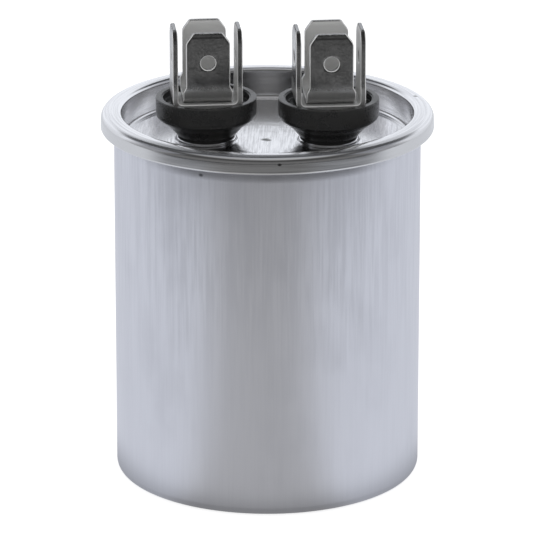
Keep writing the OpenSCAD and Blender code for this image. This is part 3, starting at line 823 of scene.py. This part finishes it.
class CAPACITOR_OT_lid(bpy.types.Operator):
    """Build the lid: double seam, chuck wall, flat panel and the two raised rings round the terminals"""

    bl_idname = "capacitor.lid"
    bl_label = "Lid"

    def execute(self, context):
        s = context.scene.capacitor_shell
        t, gap = s.lid_sheet, s.seam_gap
        seam_or, top = LID_HI.x, LID_HI.z
        seam_ir = seam_or - t
        hook_ir = seam_ir - gap - s.can_sheet
        cover_or = hook_ir - gap
        cover_ir = cover_or - t
        chuck_or = cover_ir - gap - s.can_sheet - gap
        chuck_ir = chuck_or - t
        low = seam_foot(s)
        curl_in = (seam_ir - cover_or) / 2
        curl_out = curl_in + t
        panel = top - s.panel_depth
        under = panel - t
        can_curl = (hook_ir - cover_ir + gap) / 2
        cover_end = top - t - gap - can_curl - s.can_sheet + math.sqrt(gap * (gap + t)) - 0.05 * MM
        rim = chuck_ir - s.panel_round - 0.3 * MM
        middle = chuck_ir + 0.4 * (seam_or - chuck_ir)
        fall = (seam_or - middle) * math.tan(s.crown)
        brow = seam_or - s.seam_height * math.tan(s.taper)
        corners = [
            (rim, panel, 0),
            (chuck_ir, panel, s.panel_round),
            (chuck_ir, top - 0.5 * fall, 0.7 * s.seam_round),
            (middle, top, 3 * MM),
            (brow, top - fall, 1.2 * s.seam_round),
            (seam_or, low, 0.3 * MM),
            (cover_ir, low, curl_out),
            (cover_ir, cover_end, CUT_ROUND),
            (cover_or, cover_end, CUT_ROUND),
            (cover_or, low + t, curl_in),
            (seam_ir, low + t, curl_in),
            (brow - t, top - fall - t, s.seam_round - t),
            (chuck_or, top - fall - t, s.seam_round - t),
            (chuck_or, under, s.panel_round + t),
            (rim, under, 0),
        ]
        outline = rounded(corners, closed=False)
        finish = lid_finish(s)
        mesh = turned_mesh("lid_panel", outline, finish, s.steps, closed=False)
        bm = bmesh.new()
        bm.from_mesh(mesh)
        bpy.data.meshes.remove(mesh)
        # Raised rings: top face, hole, underside; each stands in a flat collar, and its hollow is narrower
        r, h = s.boss_radius, s.boss_height
        collar, hollow = 0.6 * MM, 0.35 * MM
        foot = h - s.boss_round
        ring = rounded(
            [
                (r + collar, panel, 0),
                (r, panel, foot),
                (r, panel + h, s.boss_round),
                (s.hole_radius, panel + h, CUT_ROUND),
                (s.hole_radius, under + h, CUT_ROUND),
                (r - hollow, under + h, 0.1 * MM),
                (r - hollow, under, 0.1 * MM),
                (r + collar, under, 0),
            ],
            closed=False,
        )
        turns = [2 * math.pi * k / RING_STEPS for k in range(RING_STEPS)]
        for side in SIDES:
            axis = middle_of("insulator_cup_" + side)
            rows = [
                [bm.verts.new((axis.x + p.x * math.cos(a), axis.y + p.x * math.sin(a), p.y)) for a in turns]
                for p in ring
            ]
            for u, v in zip(rows, rows[1:]):
                for k in range(RING_STEPS):
                    after = (k + 1) % RING_STEPS
                    bm.faces.new((u[k], u[after], v[after], v[k]))
        bmesh.ops.remove_doubles(bm, verts=bm.verts, dist=SAME)
        # The flat sheet between the seam's foot and the two rings, above and below
        for level in (panel, under):
            open_edges = [e for e in bm.edges if e.is_boundary]
            loops = [e for e in open_edges if all(abs(v.co.z - level) < SAME for v in e.verts)]
            made = bmesh.ops.triangle_fill(bm, use_beauty=True, use_dissolve=False, edges=loops)
            if not made["geom"]:
                raise RuntimeError("the lid's panel could not be filled")
        piece("lid_panel", bm, finish, "lid_aluminium", "lid")
        return {"FINISHED"}


class CAPACITOR_OT_cups(bpy.types.Operator):
    """Build the two black insulating cups"""

    bl_idname = "capacitor.cups"
    bl_label = "Insulating cups"

    def execute(self, context):
        s = context.scene.capacitor_terminals
        finish = plastic_finish(
            # Black thermoset, compression moulded: deep black with a satin skin
            "Black moulded phenolic", s.cup_colour, srgb("323231"), 0.25, 0.33, 0.18 * MM, 0.002 * MM
        )
        for side in SIDES:
            lo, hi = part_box("insulator_cup_" + side)
            r = (hi.x - lo.x) / 2
            top = hi.z
            # The cup stands on its gasket, above the lid's raised ring
            foot_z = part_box("cup_gasket_" + side)[1].z
            edge = 0.15 * MM
            # A low step runs round the recess
            step, ledge = s.recess_radius + 0.2 * MM, top - 0.15 * MM
            recess = top - s.cup_recess
            # The cone is slightly hollow between its foot and the band
            waist = s.cup_foot + 0.4 * (r - s.cup_foot), (foot_z + top - s.cup_band) / 2
            corners = [
                (s.bore, lo.z, 0.05 * MM),
                (s.spigot, lo.z, 0.1 * MM),
                (s.spigot, foot_z, 0.05 * MM),
                (s.cup_foot, foot_z, 0.12 * MM),
                (*waist, 4 * MM),
                (r, top - s.cup_band, s.cup_edge),
                (r, top, edge),
                (step, top, 0.08 * MM),
                (step, ledge, 0.04 * MM),
                (s.recess_radius, ledge, 0.05 * MM),
                (s.recess_radius, recess, 0.15 * MM),
                (s.bore, recess, 0.05 * MM),
            ]
            name = "cup_" + side
            mesh = turned_mesh(name, rounded(corners), finish, s.steps, middle_of("insulator_cup_" + side))
            piece(name, mesh, finish, "black_insulator", "insulator_cup_" + side)
        return {"FINISHED"}


class CAPACITOR_OT_rivets(bpy.types.Operator):
    """Build the two rivets, with domed heads on the upper strips and clenched tails under the washers"""

    bl_idname = "capacitor.rivets"
    bl_label = "Rivets"

    def execute(self, context):
        s = context.scene.capacitor_terminals
        finish = metal_finish(
            # Steel rivet, nickel plated and headed cold: bright but slightly beaten
            "Nickel-plated steel, headed", s.rivet_colour, srgb("A9A69F"), 0.25, 0.38
        )
        for side in SIDES:
            lo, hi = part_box("rivet_" + side)
            head = hi.z - s.rivet_height
            # The clenched tail spreads 0.6 mm past the shank and is 0.5 mm high
            tail = min((hi.x - lo.x) / 2, s.shank_radius + 0.6 * MM)
            clench = lo.z + 0.5 * MM
            corners = [
                (0, lo.z, 0),
                (tail, lo.z, 0.15 * MM),
                (tail, clench, 0.15 * MM),
                (s.shank_radius, clench, 0.05 * MM),
                (s.shank_radius, head, 0.05 * MM),
                (s.rivet_radius, head, 0.05 * MM),
                (s.rivet_radius, hi.z, s.rivet_height / 2),
                (0, hi.z, 0),
            ]
            name = "rivet_head_" + side
            mesh = turned_mesh(name, rounded(corners), finish, RIVET_STEPS, middle_of("rivet_" + side))
            piece(name, mesh, finish, "rivet_metal", "rivet_" + side)
        return {"FINISHED"}


def strip_blank(s, flat, leg, shoulder, bore):
    """Flat blank of a strip, drawn along x both ways from its middle, with its rivet hole and both detent
    holes. Returns its bmesh, a flat sheet of faces, and the length of one half."""
    half = flat + leg
    w0, w1 = s.strip_width / 2, s.blade_width / 2
    tip_w = w1 - s.cut_width
    hole_at = half - s.detent_drop
    # Each hole has a square patch of its own: half its width, and the cells along that half
    reach = 1.9 * MM
    sides = 6
    # The strip narrows to the blade between these two lengths
    wide_end, narrow_start = shoulder - 0.5 * MM, shoulder + 0.2 * MM
    # Side of the tip: the corner cut, with both its ends rounded
    tip = rounded(
        [
            (half - 3 * MM, w1, 0), (half - s.cut_height, w1, s.tip_round), (half, tip_w, s.tip_round / 2),
            (half, 0, 0),
        ],
        closed=False,
    )
    tip = [p for i, p in enumerate(tip) if i == 0 or p.x > tip[i - 1].x + ROW]
    tip.insert(0, Vector((shoulder + 0.1 * MM, w1)))

    def width(u):
        """Half the strip's width at that length from its middle."""
        u = abs(u)
        if u <= wide_end:
            return w0
        if u <= narrow_start:
            return w0 + (w1 - w0) * (u - wide_end) / (0.7 * MM)
        for a, b in zip(tip, tip[1:]):
            if u <= b.x:
                return a.y + (b.y - a.y) * (u - a.x) / (b.x - a.x)
        return tip[-1].y

    # Rows across the strip, at every place where its outline or a patch changes, and evenly between
    places = [
        bore + 0.5 * MM, flat, wide_end, narrow_start, hole_at - reach, hole_at + reach,
        half - s.cut_height, half, *[p.x for p in tip[2:]],
    ]
    marks = sorted({0.0, *[round(sign * u, 9) for sign in (1, -1) for u in places]})
    rows = []
    for a, b in zip(marks, marks[1:]):
        in_hole = abs(abs(a + b) / 2 - hole_at) < reach * 0.5
        n = 2 * sides if in_hole else max(1, math.ceil((b - a) / (0.35 * MM)))
        rows.extend(a + (b - a) * k / n for k in range(n))
    rows.append(marks[-1])
    inner = [reach * (k / sides - 1) for k in range(2 * sides + 1)]
    # At the tip the columns draw together, and stay this far inside the edge
    margin = 0.3 * MM
    bm = bmesh.new()
    grid = []
    for u in rows:
        w = width(u)
        scale = min(1.0, (w - margin) / reach)
        beside = w - (w - reach * scale) / 2
        line = [-w, -beside, *[v * scale for v in inner], beside, w]
        grid.append([bm.verts.new((u, v, 0)) for v in line])
    cols = len(grid[0])
    centres = [(hole_at, s.detent_radius), (-hole_at, s.detent_radius), (0.0, bore)]

    def in_patch(spot):
        """True inside one of the squares that the rings fill."""
        return any(abs(spot.x - c) < reach and abs(spot.y) < reach for c, _ in centres)

    for i in range(len(rows) - 1):
        for j in range(cols - 1):
            quad = (grid[i][j], grid[i + 1][j], grid[i + 1][j + 1], grid[i][j + 1])
            mid = sum((q.co for q in quad), Vector()) / 4
            if not in_patch(mid):
                bm.faces.new(quad)
    # Rings from each square to its hole
    for c, rad in centres:
        rim = [
            v for v in bm.verts
            if (abs(abs(v.co.x - c) - reach) < ROW and abs(v.co.y) < reach + ROW)
            or (abs(abs(v.co.y) - reach) < ROW and abs(v.co.x - c) < reach + ROW)
        ]
        rim.sort(key=lambda v: math.atan2(v.co.y, v.co.x - c))
        last = rim
        for share in (0.35, 0.68, 1.0):
            ring = []
            for v in rim:
                a = math.atan2(v.co.y, v.co.x - c)
                on_hole = Vector((c + rad * math.cos(a), rad * math.sin(a), 0))
                ring.append(bm.verts.new(v.co.lerp(on_hole, share)))
            n = len(rim)
            for k in range(n):
                after = (k + 1) % n
                bm.faces.new((last[k], last[after], ring[after], ring[k]))
            last = ring
    loose = [v for v in bm.verts if not v.link_faces]
    bmesh.ops.delete(bm, geom=loose, context="VERTS")
    return bm, half


def thickened(bm, t, edge):
    """The flat blank, t thick and centred, with its edges broken."""
    for v in bm.verts:
        v.co.z = -t / 2
    made = bmesh.ops.extrude_face_region(bm, geom=bm.faces[:])
    for v in [g for g in made["geom"] if isinstance(g, bmesh.types.BMVert)]:
        v.co.z = t / 2
    bmesh.ops.recalc_face_normals(bm, faces=bm.faces)
    sharp = [
        e for e in bm.edges
        if len(e.link_faces) == 2 and e.calc_face_angle(0) > math.radians(60)
        and abs(e.verts[0].co.z - e.verts[1].co.z) < ROW
    ]
    bmesh.ops.bevel(
        bm, geom=sharp, offset=edge, offset_type="OFFSET", segments=3, profile=0.5, affect="EDGES",
        clamp_overlap=False,
    )
    # What the finish reads: the side that will lie inside the fold, and the stamped edge
    inside = bm.verts.layers.float.new("inside")
    # The edge layer carries the finish's painted highlight, and the inside layer its painted light
    rim = bm.verts.layers.float.new("edge")
    # The middle of the cut is found by its vertices
    core = min(abs(v.co.z) for v in bm.verts) + SAME
    skin = t / 2 - SAME
    for v in bm.verts:
        v[inside] = 1.0 if v.co.z > skin else 0.0
        v[rim] = 1.0 if core < abs(v.co.z) < skin else 0.0
    # The middle of the cut is shaded flat, so that it mirrors as the flat face it is
    plain = bm.faces.layers.int.new("plain")
    for f in bm.faces:
        f[plain] = int(all(abs(v.co.z) < core for v in f.verts))


class CAPACITOR_OT_blades(bpy.types.Operator):
    """Build the four stamped and folded strips, which carry two push-on blades each"""

    bl_idname = "capacitor.blades"
    bl_label = "Blade strips"

    def execute(self, context):
        s = context.scene.capacitor_terminals
        finish = strip_finish(s)
        t = s.sheet
        tip = UPPER_HI.z
        cup_top = CUP_HI.z
        # Lead-in at the tips: its length, and how far each face slopes in
        lead, thinner = 0.4 * MM, 0.2 * MM
        for side in SIDES:
            centre = middle_of("insulator_cup_" + side)
            for kind, span, bend, quarter in (
                ("lower", s.lower_span, s.lower_bend, 0.0),
                ("upper", s.upper_span, s.upper_bend, math.pi / 2),
            ):
                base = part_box(f"{kind}_blades_{side}")[0].z
                mid_r = bend + t / 2
                flat = span / 2 - bend - t
                arc = math.pi / 2 * mid_r
                upright = tip - base - bend - t
                shoulder = flat + arc + (cup_top + s.shoulder - base - bend - t)
                bm, half = strip_blank(s, flat, arc + upright, shoulder, s.bore)
                thickened(bm, t, s.edge)
                turn = Matrix.Rotation(s.turn + quarter, 3, "Z")
                for v in bm.verts:
                    u, across, through = v.co
                    near = half - abs(u)
                    if near < lead:
                        most = t / 2 - thinner * (1 - near / lead)
                        through = max(-most, min(most, through))
                    out = abs(u)
                    sign = 1 if u >= 0 else -1
                    if out <= flat:
                        x, z = out, t / 2 + through
                    elif out <= flat + arc:
                        a = (out - flat) / mid_r
                        rad = mid_r - through
                        x, z = flat + rad * math.sin(a), bend + t - rad * math.cos(a)
                    else:
                        x, z = flat + mid_r - through, bend + t + out - flat - arc
                    v.co = turn @ Vector((sign * x, across, z + base)) + centre
                name = f"{kind}_strip_{side}"
                piece(name, bm, finish, "tinned_strip", f"{kind}_blades_{side}")
        return {"FINISHED"}


class CAPACITOR_OT_inner_parts(bpy.types.Operator):
    """Give the seals and the parts inside the can their materials"""

    bl_idname = "capacitor.inner_parts"
    bl_label = "Seals and inner parts"

    def execute(self, context):
        board = plastic_finish(
            "Pressboard, brown", srgb("6B4A32"), srgb("7E5A3E"), 0.7, 0.85, 0.4 * MM, 0.02 * MM
        )
        white = plastic_finish("Polypropylene, white moulded", srgb("E4E3DC"), srgb("EFEEE8"), 0.4, 0.5)
        rubber = plastic_finish("Nitrile rubber, pressed", srgb("202020"), srgb("2C2C2C"), 0.6, 0.75)
        compound = plastic_finish("Seaming compound, dried", srgb("4A4A4E"), srgb("58585C"), 0.5, 0.65)
        # The film's edges show as rings across the winding
        layers = (8 * MM, 8 * MM, 0.2 * MM)
        film = metal_finish("Metallised film, wound", srgb("B4B6BC"), srgb("9FA1A8"), 0.22, 0.34, layers)
        spray = metal_finish("Sprayed zinc", srgb("A2A3A4"), srgb("8A8B8C"), 0.6, 0.8, 0.5 * MM, 0.03 * MM)
        copper = metal_finish("Tinned copper strip, rolled", srgb("CDCBC6"), srgb("B5B2AB"), 0.28, 0.4)
        steel = metal_finish("Zinc-plated steel washer", srgb("C4C1B4"), srgb("A8A596"), 0.3, 0.42)
        given = {
            "seam_compound": compound, "interrupter_disc": board, "top_spacer": white, "upper_lead": copper,
            "lower_lead": copper, "lead_sleeve": white, "winding": film, "core_tube": white,
            "end_spray_top": spray, "end_spray_bottom": spray, "outer_wrap": white, "bottom_cup": white,
        }
        for side in SIDES:
            given["cup_gasket_" + side] = rubber
            given["rivet_washer_" + side] = steel
            given["inner_bushing_" + side] = board
        for name, material in given.items():
            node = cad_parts[name]
            node.data.materials.clear()
            node.data.materials.append(material)
        return {"FINISHED"}


# ---- stage ----


def ahead(tree, vector, turn, inner, outer):
    """1 where a place or direction lies in front of the object, within the inner angle; 0 past the outer."""
    flat = add(tree, "ShaderNodeVectorMath", {0: vector, 1: FLAT}, operation="MULTIPLY")
    unit = add(tree, "ShaderNodeVectorMath", {0: flat.outputs[0]}, operation="NORMALIZE")
    front = (math.sin(turn), -math.cos(turn), 0.0)
    near = add(tree, "ShaderNodeVectorMath", {0: unit.outputs[0], 1: front}, operation="DOT_PRODUCT")
    return add(
        tree, "ShaderNodeMapRange",
        {"Value": near.outputs["Value"], "From Min": math.cos(outer), "From Max": math.cos(inner)},
        interpolation_type="SMOOTHSTEP",
    ).outputs[0]


class CAPACITOR_OT_stage(bpy.types.Operator):
    """Set up the pale floor, the soft light and the camera"""

    bl_idname = "capacitor.stage"
    bl_label = "Studio"

    def execute(self, context):
        s = context.scene.capacitor_studio
        scene = context.scene
        scene.view_settings.view_transform = "Standard"
        self.floor(s)
        self.world(s, scene)
        self.lamps(s)
        # Camera
        cam = bpy.data.cameras.new("Camera")
        cam.lens = s.lens
        cam.sensor_width = 36.0
        cam.clip_start, cam.clip_end = 0.05, 20.0
        # The view's centre lies a little off the middle, as a share of the picture's width
        cam.shift_x, cam.shift_y = -0.9 / 533, 0.5 / 533
        obj = bpy.data.objects.new("Camera", cam)
        scene.collection.objects.link(obj)
        obj.location = Matrix.Rotation(s.turn, 3, "Z") @ Vector((0, -s.distance, s.height))
        obj.rotation_euler = (math.pi / 2 - s.tilt, 0, s.turn)
        scene.camera = obj
        return {"FINISHED"}

    def floor(self, s):
        mat = bpy.data.materials.new("Floor, matt white")
        mat.use_nodes = True
        mat.cycles.emission_sampling = "NONE"
        tree = mat.node_tree
        tree.nodes.clear()
        matt = add(tree, "ShaderNodeBsdfDiffuse", {"Color": s.floor_colour})
        half = add(tree, "ShaderNodeBsdfDiffuse", {"Color": [c / 2 for c in s.floor_colour]})
        glow = add(tree, "ShaderNodeEmission", {"Color": WHITE, "Strength": s.glow})
        lit = add(tree, "ShaderNodeAddShader", {0: half.outputs[0], 1: glow.outputs[0]})
        # In the metal the floor shows a painted glow, as light as a lit floor, painted darker in front, where
        # the camera stands
        spot = add(tree, "ShaderNodeTexCoord").outputs["Object"]
        flat = add(tree, "ShaderNodeVectorMath", {0: spot, 1: FLAT}, operation="MULTIPLY")
        far = add(
            tree, "ShaderNodeVectorMath", {0: flat.outputs[0]}, operation="LENGTH"
        ).outputs["Value"]
        share = ahead(tree, spot, s.turn + s.lean, s.front_inner, s.front_outer)
        near = add(
            tree, "ShaderNodeMapRange",
            {
                "Value": share, "From Min": 0.0, "From Max": 1.0, "To Min": s.floor_side,
                "To Max": s.floor_front,
            },
        ).outputs[0]
        # The painted glow is full out to 160 to 178 mm; beyond it the painted glow gets darker, and again
        # from 215 to 260 mm.
        # That part of the floor is as wide as the dim room, less these two angles in radians.
        narrower, sooner = 0.5, 0.6
        wide = ahead(tree, spot, s.turn, s.room_inner - narrower, s.room_outer - sooner)
        past = add(
            tree, "ShaderNodeMapRange",
            {"Value": far, "From Min": 0.16, "From Max": 0.178}, interpolation_type="SMOOTHSTEP",
        ).outputs[0]
        out = add(tree, "ShaderNodeMath", {0: wide, 1: past}, operation="MULTIPLY").outputs[0]
        beyond = add(
            tree, "ShaderNodeMapRange",
            {
                "Value": share, "From Min": 0.0, "From Max": 1.0, "To Min": s.floor_out_side,
                "To Max": s.floor_out,
            },
        ).outputs[0]
        last = add(
            tree, "ShaderNodeMapRange",
            {
                "Value": far, "From Min": 0.215, "From Max": 0.26, "To Min": 1.0,
                "To Max": s.floor_far / s.floor_out,
            },
            interpolation_type="SMOOTHSTEP",
        ).outputs[0]
        fading = add(tree, "ShaderNodeMath", {0: beyond, 1: last}, operation="MULTIPLY").outputs[0]
        seen = add(tree, "ShaderNodeMix", {0: out, 2: near, 3: fading}, data_type="FLOAT")
        # Painted shadow: the floor's glow in the metal is darker close to the can's foot, where the can keeps
        # light from it
        foot = add(
            tree, "ShaderNodeMapRange",
            {
                "Value": far, "From Min": CAN_HI.x - 1 * MM, "From Max": CAN_HI.x + 9 * MM,
                "To Min": 0.55, "To Max": 1.0,
            },
            interpolation_type="SMOOTHSTEP",
        ).outputs[0]
        light = add(
            tree, "ShaderNodeMath", {0: seen.outputs[0], 1: foot}, operation="MULTIPLY"
        ).outputs[0]
        shown = add(tree, "ShaderNodeMix", {0: share, 6: s.tint, 7: WHITE}, data_type="RGBA").outputs[2]
        # Painted light: in the metal the floor glows, though it is no lamp
        mirrored = add(tree, "ShaderNodeEmission", {"Color": shown, "Strength": light})
        path = add(tree, "ShaderNodeLightPath")
        gloss = add(
            tree, "ShaderNodeMath",
            {0: path.outputs["Is Glossy Ray"], 1: path.outputs["Is Transmission Ray"]},
            operation="MAXIMUM",
        ).outputs[0]
        one = add(tree, "ShaderNodeMixShader", {0: gloss, 1: matt.outputs[0], 2: mirrored.outputs[0]})
        camera = path.outputs["Is Camera Ray"]
        both = add(tree, "ShaderNodeMixShader", {0: camera, 1: one.outputs[0], 2: lit.outputs[0]})
        add(tree, "ShaderNodeOutputMaterial", {"Surface": both.outputs[0]})
        size = 6.0
        mesh = bpy.data.meshes.new("floor")
        corners = [(-size, -size, 0), (size, -size, 0), (size, size, 0), (-size, size, 0)]
        mesh.from_pydata(corners, [], [(0, 1, 2, 3)])
        mesh.materials.append(mat)
        obj = bpy.data.objects.new("floor", mesh)
        bpy.context.scene.collection.objects.link(obj)

    def world(self, s, scene):
        world = bpy.data.worlds.new("Studio")
        scene.world = world
        world.use_nodes = True
        world.cycles.sampling_method = "NONE"
        tree = world.node_tree
        tree.nodes.clear()
        # A white backdrop behind, a dim room behind the camera, and a dark ceiling, lighter straight above
        way = add(tree, "ShaderNodeTexCoord").outputs["Generated"]
        split = add(tree, "ShaderNodeSeparateXYZ", {0: way})
        share = ahead(tree, way, s.turn, s.room_inner, s.room_outer)
        around = add(
            tree, "ShaderNodeMapRange",
            {"Value": share, "From Min": 0.0, "From Max": 1.0, "To Min": s.backdrop, "To Max": s.front},
        ).outputs[0]
        high = add(
            tree, "ShaderNodeMapRange",
            {
                "Value": split.outputs["Z"], "From Min": math.sin(s.edge_low),
                "From Max": math.sin(s.edge_high),
            },
            interpolation_type="SMOOTHSTEP",
        ).outputs[0]
        ceiling = add(
            tree, "ShaderNodeMapRange",
            {
                "Value": split.outputs["Z"], "From Min": math.sin(s.zenith_low),
                "From Max": math.sin(s.zenith_high), "To Min": s.ceiling, "To Max": s.zenith,
            },
            interpolation_type="SMOOTHSTEP",
        ).outputs[0]
        mirrored = add(tree, "ShaderNodeMix", {0: high, 2: around, 3: ceiling}, data_type="FLOAT")
        path = add(tree, "ShaderNodeLightPath")
        gloss = add(
            tree, "ShaderNodeMath",
            {0: path.outputs["Is Glossy Ray"], 1: path.outputs["Is Transmission Ray"]},
            operation="MAXIMUM",
        ).outputs[0]
        given = add(
            tree, "ShaderNodeMix", {0: gloss, 2: s.level, 3: mirrored.outputs[0]}, data_type="FLOAT"
        )
        camera = path.outputs["Is Camera Ray"]
        strength = add(
            tree, "ShaderNodeMix", {0: camera, 2: given.outputs[0], 3: 1.0}, data_type="FLOAT"
        )
        behind = add(tree, "ShaderNodeMath", {0: 1.0, 1: share}, operation="SUBTRACT").outputs[0]
        cool = add(tree, "ShaderNodeMath", {0: gloss, 1: behind}, operation="MULTIPLY").outputs[0]
        shown = add(tree, "ShaderNodeMix", {0: cool, 6: WHITE, 7: s.tint}, data_type="RGBA").outputs[2]
        light = add(tree, "ShaderNodeBackground", {"Color": shown, "Strength": strength.outputs[0]})
        add(tree, "ShaderNodeOutputWorld", {"Surface": light.outputs[0]})

    def lamps(self, s):
        centre = (CAD_LO + CAD_HI) / 2
        for name, across in (("Lamp left", -0.9), ("Lamp right", 0.9)):
            place = Vector((across, 0.1, 0.5))
            data = bpy.data.lights.new(name, "AREA")
            data.shape = "SQUARE"
            data.size = 0.8
            data.energy = s.lamp_power
            data.color = srgb("EEF2FF")
            obj = bpy.data.objects.new(name, data)
            bpy.context.scene.collection.objects.link(obj)
            obj.location = place
            obj.rotation_euler = (centre - place).to_track_quat("-Z", "Y").to_euler()


class CAPACITOR_PT_panel(bpy.types.Panel):
    """Lists the steps that build the capacitor"""

    bl_idname = "CAPACITOR_PT_panel"
    bl_label = "Motor run capacitor"
    bl_space_type = "VIEW_3D"
    bl_region_type = "UI"
    bl_category = "Capacitor"

    def draw(self, context):
        for op in OPERATORS:
            self.layout.operator(op.bl_idname)
        for group in ("capacitor_shell", "capacitor_terminals", "capacitor_studio"):
            box = self.layout.box()
            for key in getattr(context.scene, group).bl_rna.properties.keys():
                if key not in ("rna_type", "name"):
                    box.prop(getattr(context.scene, group), key)


OPERATORS = (
    CAPACITOR_OT_can, CAPACITOR_OT_lid, CAPACITOR_OT_cups, CAPACITOR_OT_blades, CAPACITOR_OT_rivets,
    CAPACITOR_OT_inner_parts, CAPACITOR_OT_stage,
)
CLASSES = (CAPACITOR_PG_shell, CAPACITOR_PG_terminals, CAPACITOR_PG_studio, *OPERATORS, CAPACITOR_PT_panel)


def register():
    for cls in CLASSES:
        bpy.utils.register_class(cls)
    bpy.types.Scene.capacitor_shell = PointerProperty(type=CAPACITOR_PG_shell)
    bpy.types.Scene.capacitor_terminals = PointerProperty(type=CAPACITOR_PG_terminals)
    bpy.types.Scene.capacitor_studio = PointerProperty(type=CAPACITOR_PG_studio)


def unregister():
    del bpy.types.Scene.capacitor_studio
    del bpy.types.Scene.capacitor_terminals
    del bpy.types.Scene.capacitor_shell
    for cls in reversed(CLASSES):
        bpy.utils.unregister_class(cls)


def main():
    register()
    bpy.ops.capacitor.can()
    bpy.ops.capacitor.lid()
    bpy.ops.capacitor.cups()
    bpy.ops.capacitor.blades()
    bpy.ops.capacitor.rivets()
    bpy.ops.capacitor.inner_parts()
    bpy.ops.capacitor.stage()


if __name__ == "__main__":
    main()
